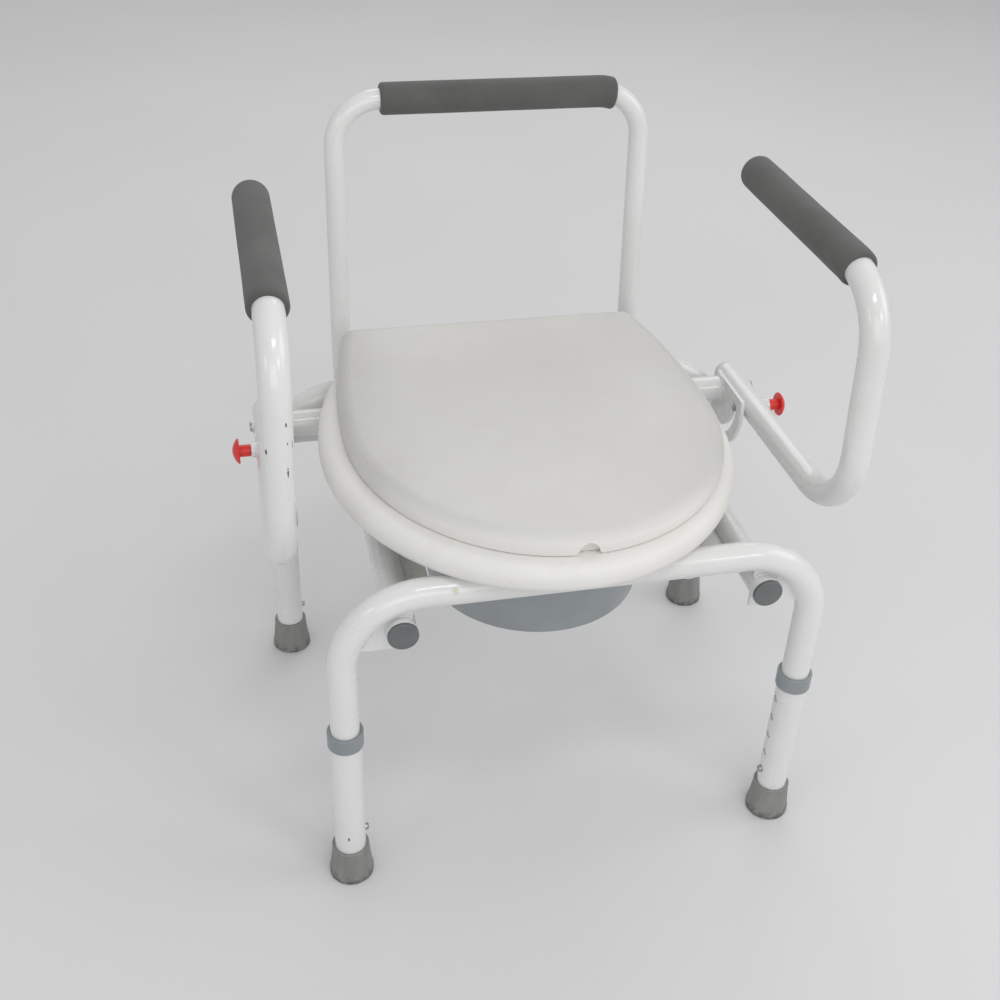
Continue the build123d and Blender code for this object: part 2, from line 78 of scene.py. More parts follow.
BACK_GRIP_START = Vector((-0.120, 0.246, 0.642))
BACK_TOP = Vector((0.1692, 0.246, 0.642))
BACK_LOW = Vector((0.173, 0.227, 0.316))
BACK_BEND = 0.050
BACK_GRIP_TURN = 0.24    # share of the right bend the foam covers
SEAT_MID = Vector((-0.011, -0.032, 0.0))
LID_HALF = 0.188
LID_FRONT = 0.218
LID_TOP = 0.4155
RAIL_X = 0.173
RAIL_Z = 0.316
PIVOT_Y = 0.101
PIVOT_Z = 0.342
PLATE_IN_X = 0.2475      # inner face of a latch plate
ROUTE_STEP = 0.003       # spacing of the rings of a grip
GUSSET_BEAD_R = 0.0013   # thickness of the weld beads
PLATE_BEAD_R = 0.0015
SADDLE_BEAD_R = 0.0017
BARREL_BEAD_R = 0.0011
SPRING_TURNS = 7
SPRING_WIRE_R = 0.0005
X_AXIS, Y_AXIS, Z_AXIS = Vector((1, 0, 0)), Vector((0, 1, 0)), Vector((0, 0, 1))


# ---- camera -----------------------------------------------------------------------------------------
def add_camera():
    """The camera stands in front of the chair, a little to the left, and looks down on it."""
    position = Vector((-0.2980, -1.0881, 1.0592))
    yaw, pitch, roll = 0.2397, 0.6043, -0.0395
    ahead = Vector((sin(yaw) * cos(pitch), cos(yaw) * cos(pitch), -sin(pitch)))
    right = Vector((cos(yaw), -sin(yaw), 0.0))
    down = ahead.cross(right)
    across = right * cos(roll) + down * sin(roll)
    below = down * cos(roll) - right * sin(roll)
    data = bpy.data.cameras.new("camera")
    data.sensor_width = 36.0
    data.lens = 45.76
    data.clip_end = 60.0
    camera = bpy.data.objects.new("camera", data)
    bpy.context.scene.collection.objects.link(camera)
    turn = Matrix((across, -below, -ahead)).transposed()
    camera.matrix_world = Matrix.Translation(position) @ turn.to_4x4()
    bpy.context.scene.camera = camera


# ---- shader helper ----------------------------------------------------------------------------------
class Shader:
    """Builds one procedural material: a Principled shader with nodes in front of it."""

    def __init__(self, name, roughness=0.5, metallic=0.0, **sockets):
        self.material = bpy.data.materials.new(name)
        self.material.use_nodes = True
        self.tree = self.material.node_tree
        self.tree.nodes.clear()
        self.surface = self.tree.nodes.new("ShaderNodeBsdfPrincipled")
        output = self.tree.nodes.new("ShaderNodeOutputMaterial")
        self.tree.links.new(self.surface.outputs["BSDF"], output.inputs["Surface"])
        self.surface.inputs["Roughness"].default_value = roughness
        self.surface.inputs["Metallic"].default_value = metallic
        for socket, value in sockets.items():
            self.surface.inputs[socket.replace("_", " ")].default_value = value
        self.place = self.tree.nodes.new("ShaderNodeTexCoord").outputs["Object"]

    def put(self, value, socket):
        """Links a value that is a socket, or sets one that is a constant."""
        if isinstance(value, bpy.types.NodeSocket):
            self.tree.links.new(value, socket)
        else:
            socket.default_value = value

    def node(self, kind, inputs=(), **settings):
        made = self.tree.nodes.new(kind)
        for key, value in settings.items():
            setattr(made, key, value)
        for key, value in dict(inputs).items():
            self.put(value, made.inputs[key])
        return made

    def feed(self, socket, value):
        self.tree.links.new(value, self.surface.inputs[socket])

    def stretched(self, scale):
        """The object coordinates, scaled unevenly."""
        return self.node("ShaderNodeMapping", {"Vector": self.place, "Scale": scale}).outputs["Vector"]

    def noise(self, scale, detail=2.0, roughness=0.5, place=None, distortion=0.0):
        made = self.node("ShaderNodeTexNoise", {
            "Vector": place or self.place, "Scale": scale, "Detail": detail, "Roughness": roughness,
            "Distortion": distortion,
        })
        return made.outputs["Fac"]

    def cells(self, scale):
        made = self.node("ShaderNodeTexVoronoi", {"Vector": self.place, "Scale": scale})
        return made.outputs["Distance"]

    def remap(self, value, low, high, out_low=0.0, out_high=1.0):
        made = self.node("ShaderNodeMapRange", {
            "Value": value, "From Min": low, "From Max": high, "To Min": out_low, "To Max": out_high,
        }, clamp=True)
        return made.outputs["Result"]

    def math(self, operation, a, b):
        made = self.node("ShaderNodeMath", operation=operation)
        self.put(a, made.inputs[0])
        self.put(b, made.inputs[1])
        return made.outputs["Value"]

    def vector(self, operation, *values):
        """One step of vector arithmetic on sockets or constants."""
        made = self.node("ShaderNodeVectorMath", operation=operation)
        for index, value in enumerate(values):
            self.put(value, made.inputs[index])
        return made

    def blend(self, factor, a, b):
        """Mix of two colours, each a tuple or a socket."""
        colour_a, colour_b, colour_out = 6, 7, 2     # the mix node's sockets for colours
        made = self.node("ShaderNodeMix", {"Factor": factor}, data_type="RGBA")
        for value, index in ((a, colour_a), (b, colour_b)):
            self.put((*value, 1.0) if isinstance(value, tuple) else value, made.inputs[index])
        return made.outputs[colour_out]

    def bump(self, height, distance, under=None):
        inputs = {"Height": height, "Distance": distance}
        if under is not None:
            inputs["Normal"] = under
        return self.node("ShaderNodeBump", inputs).outputs["Normal"]

    def spots(self, centres, wobble, stretch=(1.0, 1.0, 1.0), soft=0.0002):
        """1 inside any of the spots, given as (centre, radius), and 0 outside; wobble makes them ragged."""
        wander = self.node("ShaderNodeTexNoise", {"Vector": self.place, "Scale": 900.0, "Detail": 2.0})
        shift = self.vector("SUBTRACT", wander.outputs["Color"], (0.5, 0.5, 0.5))
        scaled = self.vector("SCALE", shift.outputs["Vector"])
        scaled.inputs["Scale"].default_value = wobble
        moved = self.vector("ADD", self.place, scaled.outputs["Vector"])
        nearest = None
        for centre, radius in centres:
            offset = self.vector("SUBTRACT", moved.outputs["Vector"], centre)
            squeezed = self.vector("MULTIPLY", offset.outputs["Vector"], stretch)
            length = self.vector("LENGTH", squeezed.outputs["Vector"])
            edge = self.math("SUBTRACT", length.outputs["Value"], radius)
            nearest = edge if nearest is None else self.math("MINIMUM", nearest, edge)
        return self.remap(nearest, 0.0, soft, 1.0, 0.0)


# ---- materials --------------------------------------------------------------------------------------
def powder_coat(name, chips=(), stains=()):
    """Glossy white powder coat: orange peel, faint smudges, rare nicks, and any chips or stains given."""
    s = Shader(name, Coat_Weight=0.35, Coat_Roughness=0.07)
    shade = s.remap(s.noise(7.0, 3.0), 0.35, 0.65)
    colour = s.blend(shade, (0.722, 0.720, 0.711), (0.762, 0.762, 0.756))
    smudge = s.remap(s.noise(26.0, 4.0, 0.6), 0.52, 0.72)
    rough = s.remap(smudge, 0.0, 1.0, 0.20, 0.34)
    scuff_place = s.stretched((1.0, 1.0, 0.25))
    scuffs = s.remap(s.noise(420.0, 3.0, 0.6, scuff_place), 0.735, 0.775)
    patch = s.remap(s.noise(11.0, 2.0), 0.66, 0.70)
    nicks = s.math("MULTIPLY", scuffs, patch)
    colour = s.blend(nicks, colour, (0.40, 0.39, 0.37))
    peel = s.bump(s.noise(380.0, 1.0), 0.00003)
    normal = s.bump(s.noise(55.0, 1.0), 0.00012, under=peel)
    if stains:
        mark = s.math("MULTIPLY", s.spots(stains, wobble=0.0020, soft=0.0022), 0.55)
        colour = s.blend(mark, colour, (0.50, 0.44, 0.26))
    if chips:
        mark = s.spots(chips, wobble=0.0006, stretch=(1.0, 1.0, 0.42))
        bare = s.blend(s.remap(s.noise(700.0, 3.0), 0.4, 0.6), (0.050, 0.044, 0.038), (0.17, 0.15, 0.13))
        colour = s.blend(mark, colour, bare)
        rough = s.math("MAXIMUM", rough, s.math("MULTIPLY", mark, 0.62))
        normal = s.bump(s.math("SUBTRACT", 1.0, mark), 0.00008, under=normal)
    s.feed("Base Color", colour)
    s.feed("Roughness", rough)
    s.feed("Normal", normal)
    return s.material


def plated_steel():
    """Zinc-plated steel: soft mottling and fine turning marks."""
    tint = (0.60, 0.59, 0.56)
    s = Shader("plated_steel", metallic=1.0)
    mottle = s.remap(s.noise(160.0, 4.0, 0.6), 0.35, 0.68)
    dull = tuple(0.62 * c for c in tint)
    s.feed("Base Color", s.blend(mottle, dull, tint))
    fine = s.noise(1500.0, 2.0, 0.5, s.stretched((6.0, 1.0, 1.0)))
    s.feed("Roughness", s.remap(fine, 0.3, 0.7, 0.24, 0.42))
    s.feed("Normal", s.bump(fine, 0.00003))
    return s.material


def foam():
    """Closed-cell foam: matte skin with fine pores and slow shade changes."""
    s = Shader("foam", roughness=0.86, Specular_IOR_Level=0.30, Sheen_Weight=0.12, Sheen_Roughness=0.6)
    slow = s.remap(s.noise(16.0, 3.0, 0.6), 0.32, 0.68)
    fine = s.noise(900.0, 3.0, 0.65)
    colour = s.blend(slow, (0.092, 0.092, 0.089), (0.118, 0.118, 0.114))
    colour = s.blend(s.remap(fine, 0.54, 0.74, 0.0, 0.55), colour, (0.16, 0.16, 0.155))
    pores = s.cells(1300.0)
    s.feed("Base Color", colour)
    s.feed("Roughness", s.remap(fine, 0.3, 0.7, 0.78, 0.94))
    skin = s.bump(pores, 0.00025)
    s.feed("Normal", s.bump(s.noise(120.0, 3.0), 0.00035, under=skin))
    return s.material


def foot_rubber():
    """Grey rubber, dusty, with faint moulding streaks; darker in patches towards the bottom."""
    s = Shader("foot_rubber", Specular_IOR_Level=0.4)
    streaks = s.noise(90.0, 3.0, 0.6, s.stretched((1.0, 1.0, 0.18)))
    colour = s.blend(s.remap(streaks, 0.3, 0.7), (0.214, 0.214, 0.205), (0.274, 0.274, 0.262))
    height = s.node("ShaderNodeSeparateXYZ", {"Vector": s.place}).outputs["Z"]
    # darker in patches towards the bottom, within about a centimetre of the floor
    low = s.remap(height, 0.002, 0.012, 1.0, 0.0)
    patchy_low_darkening = s.math("MULTIPLY", low, s.remap(s.noise(140.0, 3.0), 0.42, 0.58))
    colour = s.blend(patchy_low_darkening, colour, (0.10, 0.098, 0.09))
    s.feed("Base Color", colour)
    s.feed("Roughness", s.remap(s.noise(60.0, 4.0), 0.3, 0.7, 0.52, 0.74))
    grain = s.bump(s.noise(1100.0, 2.0), 0.00008)
    s.feed("Normal", s.bump(streaks, 0.00020, under=grain))
    return s.material


def moulded(name, light, dark, gloss):
    """Moulded plastic: two close shades in soft patches, fine spark-eroded grain."""
    grain_depth = 0.00006
    s = Shader(name)
    s.feed("Base Color", s.blend(s.remap(s.noise(30.0, 3.0, 0.55), 0.35, 0.65), dark, light))
    s.feed("Roughness", s.remap(s.noise(66.0, 3.0), 0.3, 0.7, gloss - 0.05, gloss + 0.07))
    fine = s.bump(s.noise(900.0, 2.0), grain_depth)
    s.feed("Normal", s.bump(s.noise(45.0, 1.0), 3 * grain_depth, under=fine))
    return s.material


def seat_plastic(name, warm, cool, crown_and_rim_highlight=False):
    """Off-white shell: broad warm and cool patches, fine leather-like grain, faint scratches; on the lid, a
    painted highlight on its front rim.
    """
    s = Shader(name, Specular_IOR_Level=0.45)
    broad = s.remap(s.noise(4.5, 3.0, 0.6), 0.36, 0.64)
    colour = s.blend(broad, warm, cool)
    soil = s.remap(s.noise(9.0, 4.0, 0.65), 0.56, 0.74)
    colour = s.blend(s.math("MULTIPLY", soil, 0.30), colour, (0.590, 0.560, 0.510))
    hair = s.noise(150.0, 2.0, 0.5, s.stretched((1.0, 0.10, 1.0)), distortion=0.4)
    scratches = s.remap(hair, 0.735, 0.760)
    colour = s.blend(s.math("MULTIPLY", scratches, 0.25), colour, (0.56, 0.545, 0.51))
    s.feed("Roughness", s.remap(s.noise(34.0, 4.0, 0.6), 0.3, 0.7, 0.40, 0.56))
    normal = s.bump(s.noise(14.0, 2.0), 0.0009, under=s.bump(s.cells(760.0), 0.00007))
    if crown_and_rim_highlight:
        # painted highlight: the lid's front rim is painted lighter than its top, standing in for the light
        # its front rounding catches
        spot = s.node("ShaderNodeSeparateXYZ", {"Vector": s.place}).outputs
        rim = s.remap(spot["Z"], LID_TOP - 0.001, LID_TOP - 0.009)
        front = s.remap(spot["Y"], SEAT_MID.y - 0.04, SEAT_MID.y - 0.17)
        painted_rim_highlight = (0.765, 0.755, 0.728)
        colour = s.blend(s.math("MULTIPLY", rim, front), colour, painted_rim_highlight)
        # the top is shaded as if it fell away gently towards its front and sides
        crown_height = 0.016
        across = s.math("DIVIDE", s.math("SUBTRACT", spot["X"], SEAT_MID.x), LID_HALF)
        forward = s.math("MINIMUM", s.math("SUBTRACT", spot["Y"], SEAT_MID.y), 0.0)
        ahead = s.math("DIVIDE", forward, LID_FRONT)
        square = s.math("ADD", s.math("POWER", across, 2.0), s.math("POWER", ahead, 2.0))
        crown = s.math("SUBTRACT", 1.0, s.math("POWER", square, 2.0))
        normal = s.bump(crown, crown_height, under=normal)
    s.feed("Base Color", colour)
    s.feed("Normal", normal)
    return s.material


def pail_plastic():
    """Blue-grey pail: semi-gloss, with faint rings from the mould round its axis."""
    low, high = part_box("pail")
    s = Shader("pail_plastic", Specular_IOR_Level=0.5)
    centred = s.node("ShaderNodeMapping", {
        "Vector": s.place, "Location": (-(low.x + high.x) / 2, -(low.y + high.y) / 2, 0.0),
    }).outputs["Vector"]
    rings = s.node("ShaderNodeTexWave", {
        "Vector": centred, "Scale": 95.0, "Distortion": 0.6, "Detail": 1.0,
    }, wave_type="RINGS", rings_direction="Z").outputs["Fac"]
    patches = s.remap(s.noise(22.0, 3.0), 0.35, 0.65)
    s.feed("Base Color", s.blend(patches, (0.272, 0.296, 0.310), (0.305, 0.332, 0.346)))
    s.feed("Roughness", s.remap(s.noise(70.0, 3.0), 0.3, 0.7, 0.28, 0.42))
    lines = s.bump(rings, 0.00003)
    s.feed("Normal", s.bump(s.noise(800.0, 2.0), 0.00004, under=lines))
    return s.material


def knob_red():
    """Red injection-moulded plastic with faint flow marks."""
    s = Shader("knob_red", Coat_Weight=0.15, Coat_Roughness=0.2)
    flow = s.remap(s.noise(130.0, 3.0, 0.6, distortion=0.8), 0.35, 0.65)
    s.feed("Base Color", s.blend(flow, (0.64, 0.018, 0.016), (0.78, 0.030, 0.026)))
    s.feed("Roughness", s.remap(flow, 0.0, 1.0, 0.30, 0.42))
    s.feed("Normal", s.bump(s.noise(900.0, 2.0), 0.00008))
    return s.material


def paper_floor():
    """Pale backdrop floor with very faint unevenness."""
    s = Shader("paper_floor", roughness=0.9, Specular_IOR_Level=0.15)
    drift = s.remap(s.noise(1.6, 2.0), 0.3, 0.7)
    s.feed("Base Color", s.blend(drift, (0.712, 0.712, 0.715), (0.732, 0.732, 0.735)))
    s.feed("Normal", s.bump(s.noise(420.0, 2.0), 0.00006))
    return s.material


# ---- marks on the paint -----------------------------------------------------------------------------
def upright_marks(low, high, tube_r, marks):
    """Places marks on an upright tube, each given as (height, degrees round from its front, radius)."""
    placed = []
    for height, turn, radius in marks:
        axis = low.lerp(high, (height - low.z) / (high.z - low.z))
        outwards = Vector((sin(radians(turn)), -cos(radians(turn)), 0.0))
        placed.append((axis + outwards * tube_r, radius))
    return placed


def arm_chips():
    """Paint chips on the front of the left arm."""
    flip = Vector((-1.0, 1.0, 1.0))
    return upright_marks(ARM_LOW_FRONT * flip, ARM_TOP_FRONT * flip, TUBE_R, (
        (0.541, 28, 0.0006),
        (0.513, 31, 0.0008),
        (0.495, 34, 0.0005),
        (0.493, 60, 0.0005),
        (0.490, 60, 0.0006),
        (0.488, -45, 0.0010),
        (0.471, 32, 0.0005),
        (0.467, 32, 0.0009),
        (0.464, 32, 0.0005),
    ))


def sleeve_nick():
    """One nick low on the front of the front left sleeve."""
    foot = Vector((-FRONT_HALF, FRONT_PLANE_Y, 0.0))
    return upright_marks(foot, foot + Z_AXIS, SLEEVE_R, ((0.061, -11, 0.0009),))


def frame_stain():
    """A yellow stain on the left half of the front tube, a little above its front."""
    place_x, radius = -0.126, 0.0018
    rise = radians(32)       # from the front of the tube upwards
    front = FRONT_PLANE_Y - TUBE_R * cos(rise)
    return [(Vector((place_x, front, FRAME_TOP_Z + TUBE_R * sin(rise))), radius)]


def paint_nodes():
    """Gives every carried-over CAD node its material."""
    made = {
        "frame_paint": powder_coat("frame_paint"),
        "plated_steel": plated_steel(),
        "foam_grip": foam(),
        "foot_rubber": foot_rubber(),
        "collar_plastic": moulded("collar_plastic", (0.275, 0.299, 0.309), (0.243, 0.266, 0.276), 0.34),
        "cap_plastic": moulded("cap_plastic", (0.145, 0.158, 0.160), (0.118, 0.128, 0.130), 0.44),
        "knob_red": knob_red(),
        # painted light: the seat plastic is lighter than the lid's copy below, standing in for the light on
        # the steep sides of the seat ring
        "seat_plastic": seat_plastic("seat_plastic", (0.765, 0.750, 0.720), (0.795, 0.788, 0.762)),
        "pail_plastic": pail_plastic(),
        "bumper_rubber": moulded("bumper_rubber", (0.66, 0.66, 0.63), (0.58, 0.58, 0.55), 0.6),
        "acetal_bush": moulded("acetal_bush", (0.72, 0.72, 0.70), (0.66, 0.66, 0.64), 0.38),
    }
    special = {
        "arm_tube_left": powder_coat("frame_paint_chipped", chips=arm_chips()),
        "front_frame": powder_coat("frame_paint_stained", stains=frame_stain()),
        "leg_sleeve_fl": powder_coat("frame_paint_scratched", chips=sleeve_nick()),
        # painted shade: the lid's copy of the seat plastic is darker than the seat's, standing in for the
        # shade on its upward-facing top
        "lid": seat_plastic("seat_plastic_lid_shaded", (0.622, 0.609, 0.581), (0.654, 0.650, 0.623), crown_and_rim_highlight=True),
    }
    for part in frame["record"]["subparts"]:
        name = part["node"]
        material = special.get(name, made[part["material_slot"]])
        mesh = NODES[name].data
        mesh.materials.clear()
        mesh.materials.append(material)
    return made


# ---- swept pieces -----------------------------------------------------------------------------------
def bent_route(points, radius, step):
    """Points along straight runs joined by arcs of one radius, about one step apart."""
    route = []
    start = points[0]
    for i in range(1, len(points) - 1):
        back = (points[i - 1] - points[i]).normalized()
        ahead = (points[i + 1] - points[i]).normalized()
        half = back.angle(ahead) / 2
        first = points[i] + back * (radius / tan(half))
        centre = points[i] + (back + ahead).normalized() * (radius / sin(half))
        spoke = first - centre
        axis = spoke.cross(ahead).normalized()
        turn = pi - 2 * half
        steps = max(2, round((first - start).length / step))
        route += [start.lerp(first, k / steps) for k in range(steps)]
        bends = max(6, round(turn * radius / step))
        for k in range(bends):
            route.append(centre + Matrix.Rotation(turn * k / bends, 3, axis) @ spoke)
        start = centre + Matrix.Rotation(turn, 3, axis) @ spoke
    steps = max(2, round((points[-1] - start).length / step))
    route += [start.lerp(points[-1], k / steps) for k in range(steps + 1)]
    return route


def trimmed(route, skip_start, skip_end=0.0):
    """The route without a given length at each end."""
    def cut(points, length):
        rest = list(points)
        while length > 0 and len(rest) > 2:
            step = (rest[1] - rest[0]).length
            if step > length:
                rest[0] = rest[0].lerp(rest[1], length / step)
                break
            length -= step
            rest.pop(0)
        return rest
    return cut(cut(route, skip_start)[::-1], skip_end)[::-1]


def run_lengths(route):
    """Distance along the route to each of its points."""
    lengths = [0.0]
    for a, b in zip(route, route[1:]):
        lengths.append(lengths[-1] + (b - a).length)
    return lengths


def new_piece(name, vertices, faces, material, smooth=True):
    mesh = bpy.data.meshes.new(name)
    mesh.from_pydata(vertices, [], faces)
    mesh.materials.append(material)
    if smooth:
        mesh.polygons.foreach_set("use_smooth", [True] * len(mesh.polygons))
    mesh.validate()
    piece = bpy.data.objects.new(name, mesh)
    bpy.context.scene.collection.objects.link(piece)
    return piece


def swept_piece(name, rings, segments, material, closed=False):
    """A skin through rings, each (centre, direction, radius function of the angle); the ends are closed."""
    vertices, faces = [], []
    side = None
    for centre, ahead, radius in rings:
        if side is None:
            side = ahead.orthogonal().normalized()
        side = (side - ahead * side.dot(ahead)).normalized()
        up = ahead.cross(side)
        for k in range(segments):
            angle = 2 * pi * k / segments
            vertices.append(centre + (side * cos(angle) + up * sin(angle)) * radius(angle))
    count = len(rings)
    for i in range(count if closed else count - 1):
        for k in range(segments):
            here, after = i * segments, ((i + 1) % count) * segments
            beside = (k + 1) % segments
            faces.append((here + k, here + beside, after + beside, after + k))
    if not closed:
        faces.append(tuple(range(segments))[::-1])
        faces.append(tuple(range((count - 1) * segments, count * segments)))
    return new_piece(name, vertices, faces, material)


def grip_stations(total, outer, inner, open_back):
    """Places along a foam sleeve, with its radius: a lip at each open end, a dome at a closed one."""
    lip, dome = 0.0042, 0.0090
    lip_edge = 0.25          # share of the foam's thickness at the very edge of a lip
    dome_flat = 0.35         # share of the radius left flat at the top of a dome
    start_steps, end_steps = 8, 10
    stations = []
    for k in range(start_steps + 1):
        a = (pi / 2) * k / start_steps
        swell = lip_edge + (1 - lip_edge) * sin(a)
        stations.append((lip * (1 - cos(a)), inner + (outer - inner) * swell))
    steps = int((total - lip - dome) / ROUTE_STEP)
    reach = lip if open_back else dome
    for k in range(1, steps):
        stations.append((lip + (total - lip - reach) * k / steps, outer))
    for k in range(end_steps + 1):
        a = (pi / 2) * k / end_steps
        if open_back:
            radius = inner + (outer - inner) * (lip_edge + (1 - lip_edge) * cos(a))
        else:
            radius = outer * (dome_flat + (1 - dome_flat) * cos(a))
        stations.append((total - reach + reach * sin(a), radius))
    return stations


def grip(name, route, outer, inner, open_back, material, body, node, seed, face=None):
    """A foam sleeve along a route, slightly uneven; a face given squares off its far end."""
    squared_length, squared_share = 0.022, 0.62
    unevenness, along_scale, round_scale = 0.012, 22.0, 0.9
    segments = 72
    lengths = run_lengths(route)
    total = lengths[-1]

    def at(length):
        i = max(j for j in range(len(lengths) - 1) if lengths[j] <= length + 1e-9)
        t = (length - lengths[i]) / max(lengths[i + 1] - lengths[i], 1e-9)
        here = route[i].lerp(route[i + 1], min(t, 1.0))
        before = route[max(i - 1, 0)]
        after = route[min(i + 2, len(route) - 1)]
        ahead = (after - before).normalized()
        if face is not None:                 # the end is cut flatter than the bend it sits on
            share = max(0.0, min(1.0, (length - total) / squared_length + 1.0))
            ahead = ahead.lerp(face, squared_share * share).normalized()
        return here, ahead

    rings = []
    for length, radius in grip_stations(total, outer, inner, open_back):
        centre, ahead = at(min(length, total - 1e-6))

        def uneven(angle, radius=radius, length=length):
            spot = Vector((length * along_scale, cos(angle) * round_scale + seed, sin(angle) * round_scale))
            return radius * (1.0 + unevenness * noise.noise(spot))

        rings.append((centre, ahead, uneven))
    piece = swept_piece(name, rings, segments, material)
    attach(piece, body)
    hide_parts(node)


def first_lengths(corners, bend_r):
    """Length of the first straight run and of the bend after it."""
    half = (corners[0] - corners[1]).angle(corners[2] - corners[1]) / 2
    straight = (corners[1] - corners[0]).length - bend_r / tan(half)
    return straight, (pi - 2 * half) * bend_r


def add_grips(material):
    past_tube = Vector((0.0, 0.0034, 0.0))    # how far the foam reaches past the end of the arm's tube
    for side, sign in (("right", 1.0), ("left", -1.0)):
        flip = Vector((sign, 1.0, 1.0))
        corners = [p * flip for p in (ARM_LOW_FRONT, ARM_TOP_FRONT, ARM_TOP_BACK + past_tube)]
        route = bent_route(corners, ARM_BEND, ROUTE_STEP)
        straight, bend = first_lengths(corners, ARM_BEND)
        route = trimmed(route, straight + bend * ARM_GRIP_START)
        grip(f"grip_arm_{side}", route, ARM_GRIP_R, TUBE_R, False, material, f"arm_{side}",
             f"arm_grip_{side}", 3.0 + sign)
    corners = [BACK_GRIP_START, BACK_TOP, BACK_LOW]
    route = bent_route(corners, BACK_BEND, ROUTE_STEP)
    straight, bend = first_lengths(corners, BACK_BEND)
    total = run_lengths(route)[-1]
    route = trimmed(route, 0.0, total - straight - bend * BACK_GRIP_TURN)
    grip("grip_back", route, BACK_GRIP_R, BACK_TUBE_R, True, material, "frame",
         "backrest_grip", 7.0, face=X_AXIS)


# ---- plunger springs ---------------------------------------------------------------------------------
def add_springs(material):
    """Coil springs, each wound inside the box of a plunger spring from its inner end to its outer end."""
    steps_per_turn = 36
    for side, sign in (("right", 1.0), ("left", -1.0)):
        low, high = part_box(f"plunger_spring_{side}")
        middle = (low + high) / 2
        coil_r = (high.z - low.z) / 2 - SPRING_WIRE_R
        inner, outer = sorted((low.x, high.x), key=abs)
        length = abs(outer - inner)
        count = SPRING_TURNS * steps_per_turn
        rise = (length - 2 * SPRING_WIRE_R) / count
        points = []
        for k in range(count + 1):
            angle = 2 * pi * k / steps_per_turn
            x = inner + sign * (SPRING_WIRE_R + rise * k)
            points.append(Vector((x, middle.y + coil_r * cos(angle), middle.z + coil_r * sin(angle))))
        rings = []
        for k, here in enumerate(points):
            ahead = points[min(k + 1, count)] - points[max(k - 1, 0)]
            rings.append((here, ahead.normalized(), lambda angle: SPRING_WIRE_R))
        piece = swept_piece(f"spring_{side}", rings, 10, material)
        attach(piece, f"arm_{side}")
        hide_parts(f"plunger_spring_{side}")
        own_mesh(piece)


# ---- weld beads -------------------------------------------------------------------------------------
def bead(name, points, radius, material, body, closed=False):
    """A painted weld bead along the points, with the ripples of its layers."""
    ripple_depth, ripple_pitch = 0.16, 0.0021
    lump_depth, lump_scale = 0.14, 190.0
    rings = []
    count = len(points)
    along = 0.0
    for i, here in enumerate(points):
        before = points[(i - 1) % count] if closed else points[max(i - 1, 0)]
        after = points[(i + 1) % count] if closed else points[min(i + 1, count - 1)]
        if i:
            along += (here - points[i - 1]).length
        ripple = ripple_depth * sin(2 * pi * along / ripple_pitch)
        size = radius * (1.0 + ripple + lump_depth * noise.noise(here * lump_scale))
        rings.append((here, (after - before).normalized(), lambda angle, size=size: size))
    piece = swept_piece(name, rings, 10, material, closed)
    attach(piece, body)


def arc_points(centre, across, up, radius, start, end):
    """Evenly spaced points on a circle, from one angle to another, in degrees."""
    spacing = 0.0005
    count = max(12, round(radians(abs(end - start)) * radius / spacing))
    span = [radians(start + (end - start) * k / count) for k in range(count + 1)]
    return [centre + across * (radius * cos(a)) + up * (radius * sin(a)) for a in span]


def gusset_welds(material, place, plane_y, half, first, last):
    """Beads on both faces of the two gussets of one U frame: along the tube's bend and round the rail."""
    shift = 0.0002           # from a tube's skin to the middle of the bead
    proud = 0.0004           # the same from a gusset's face
    rail_sweep = 136.0       # how far the bead goes round the rail, each way from its outer side
    for side, sign in (("right", 1.0), ("left", -1.0)):
        across = X_AXIS * sign
        corner = Vector((sign * (half - FRAME_BEND), plane_y, FRAME_TOP_Z - FRAME_BEND))
        rail = Vector((sign * RAIL_X, plane_y, RAIL_Z))
        for face, way in (("a", -1.0), ("b", 1.0)):
            off = Y_AXIS * (way * (GUSSET_HALF + proud))
            seam = arc_points(corner + off, across, Z_AXIS, FRAME_BEND - TUBE_R + shift, first, last)
            bead(f"weld_{place}_tube_{side}_{face}", seam, GUSSET_BEAD_R, material, "frame")
            seam = arc_points(rail + off, across, Z_AXIS, TUBE_R + shift, -rail_sweep, rail_sweep)
            bead(f"weld_{place}_rail_{side}_{face}", seam, GUSSET_BEAD_R, material, "frame")


def plate_weld(material, side, sign):
    """The bead round the pivot cross tube where it meets the inner face of a latch plate."""
    off_plate, off_tube = 0.0004, 0.0003
    hub = Vector((sign * (PLATE_IN_X - off_plate), PIVOT_Y, PIVOT_Z))
    seam = arc_points(hub, Y_AXIS, Z_AXIS, TUBE_R + off_tube, 0.0, 360.0)[:-1]
    bead(f"weld_plate_{side}", seam, PLATE_BEAD_R, material, "frame", closed=True)


def saddle_weld(material, side, sign):
    """The bead where the cross tube sits on the rail: the seam is where the two surfaces meet."""
    count, halvings = 96, 30
    drop = PIVOT_Z - RAIL_Z
    saddle = []
    for k in range(count):
        a = 2 * pi * k / count
        low, high = 0.0, TUBE_R
        for _ in range(halvings):
            r = (low + high) / 2
            dx, dy = r * cos(a), r * sin(a)
            meet = sqrt(max(TUBE_R ** 2 - dx * dx, 0.0)) + sqrt(max(TUBE_R ** 2 - dy * dy, 0.0))
            low, high = (r, high) if meet > drop else (low, r)
        dx, dy = low * cos(a), low * sin(a)
        z = RAIL_Z + sqrt(TUBE_R ** 2 - dx * dx)
        saddle.append(Vector((sign * RAIL_X + dx, PIVOT_Y + dy, z)))
    bead(f"weld_saddle_{side}", saddle, SADDLE_BEAD_R, material, "frame", closed=True)


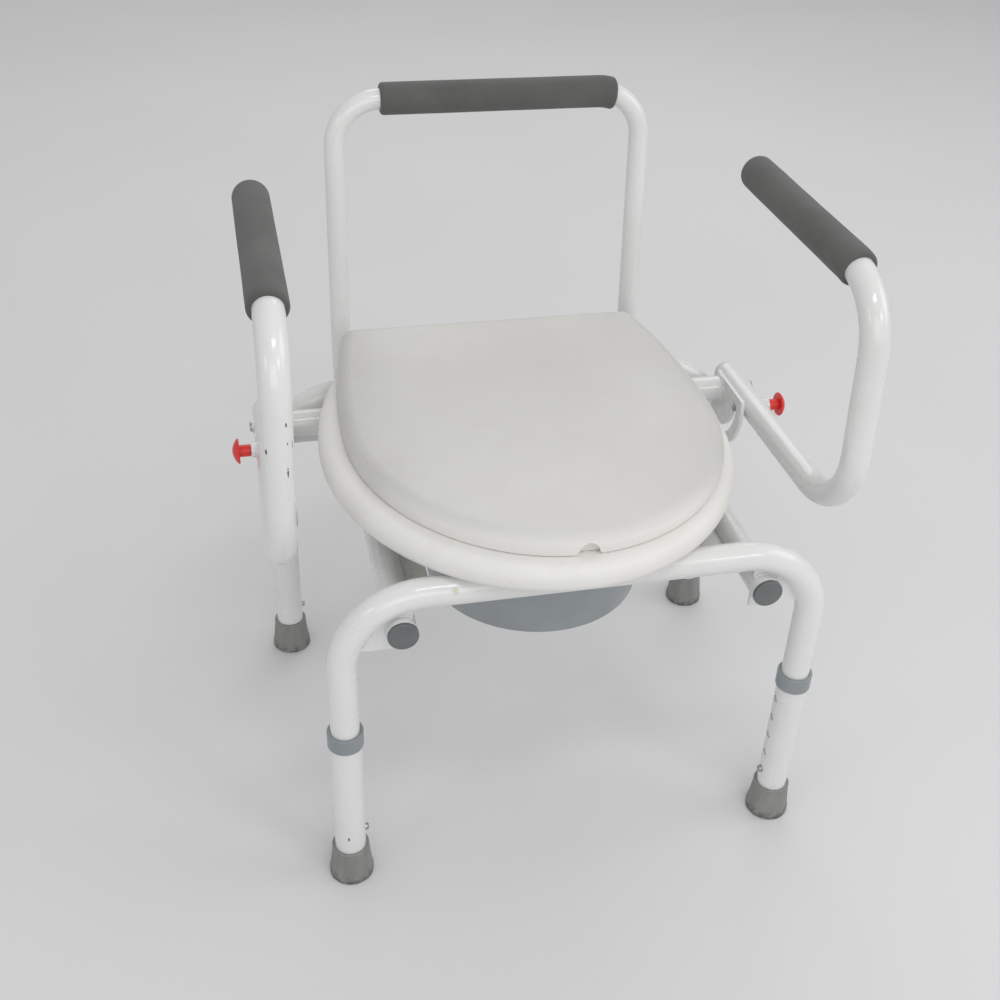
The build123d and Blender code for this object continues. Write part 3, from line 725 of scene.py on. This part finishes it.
def barrel_weld(material, side, sign):
    """The bead round the plunger's barrel on the outer side of the arm's lower bar."""
    count, ring_r = 84, 0.0082
    low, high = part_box(f"plunger_barrel_{side}")
    mid = (low + high) / 2
    share = (ARM_END.y - mid.y) / (ARM_END.y - ARM_LOW_FRONT.y)
    axis_x = sign * ARM_END.lerp(ARM_LOW_FRONT, share).x
    seam = []
    for k in range(count):
        a = 2 * pi * k / count
        dz = ring_r * sin(a)
        x = axis_x + sign * sqrt(TUBE_R ** 2 - dz * dz)
        seam.append(Vector((x, mid.y + ring_r * cos(a), mid.z + dz)))
    bead(f"weld_barrel_{side}", seam, BARREL_BEAD_R, material, f"arm_{side}", closed=True)


def add_welds(material):
    gusset_welds(material, "front", FRONT_PLANE_Y, FRONT_HALF, 20.0, 76.0)
    gusset_welds(material, "rear", REAR_PLANE_Y, REAR_HALF, 20.0, 103.0)
    for side, sign in (("right", 1.0), ("left", -1.0)):
        plate_weld(material, side, sign)
        saddle_weld(material, side, sign)
        barrel_weld(material, side, sign)


# ---- floor and light --------------------------------------------------------------------------------
def add_floor():
    half = 12.0
    corners = [(-half, -half, 0.0), (half, -half, 0.0), (half, half, 0.0), (-half, half, 0.0)]
    floor = new_piece("floor", corners, [(0, 1, 2, 3)], paper_floor(), smooth=False)


def area_light(name, place, target, width, height, power, colour=(1.0, 1.0, 1.0)):
    data = bpy.data.lights.new(name, "AREA")
    data.shape = "RECTANGLE"
    data.size = width
    data.size_y = height
    data.energy = power
    data.color = colour
    light = bpy.data.objects.new(name, data)
    bpy.context.scene.collection.objects.link(light)
    turn = (Vector(target) - Vector(place)).to_track_quat("-Z", "Y")
    light.matrix_world = Matrix.Translation(place) @ turn.to_matrix().to_4x4()


def add_lights():
    world = bpy.data.worlds.new("studio")
    bpy.context.scene.world = world
    world.use_nodes = True
    sky = world.node_tree.nodes["Background"].inputs
    sky["Color"].default_value = (0.99, 0.992, 1.0, 1.0)
    sky["Strength"].default_value = 0.57
    seat = (0.0, 0.0, 0.35)
    warm = (1.0, 0.995, 0.985)
    area_light("key_right", (1.15, -1.75, 1.75), seat, 0.65, 0.45, 4.0, warm)
    area_light("key_left", (-1.9, -1.15, 1.45), seat, 0.65, 0.45, 2.2, warm)
    area_light("overhead", (0.16, -1.0, 2.1), seat, 0.8, 0.25, 5.5)
    area_light("front_fill", (-0.5, -3.2, 1.7), seat, 2.6, 1.6, 20.0)
    area_light("right_fill", (2.8, -0.6, 1.9), seat, 1.8, 1.6, 16.0)
    area_light("rear_fill", (0.7, 2.4, 2.6), seat, 2.4, 1.4, 18.0)


# ---- assembly ---------------------------------------------------------------------------------------
bpy.context.scene.view_settings.view_transform = "Standard"
add_camera()
materials = paint_nodes()
add_grips(materials["foam_grip"])
add_springs(materials["plated_steel"])
add_welds(materials["frame_paint"])
add_floor()
add_lights()
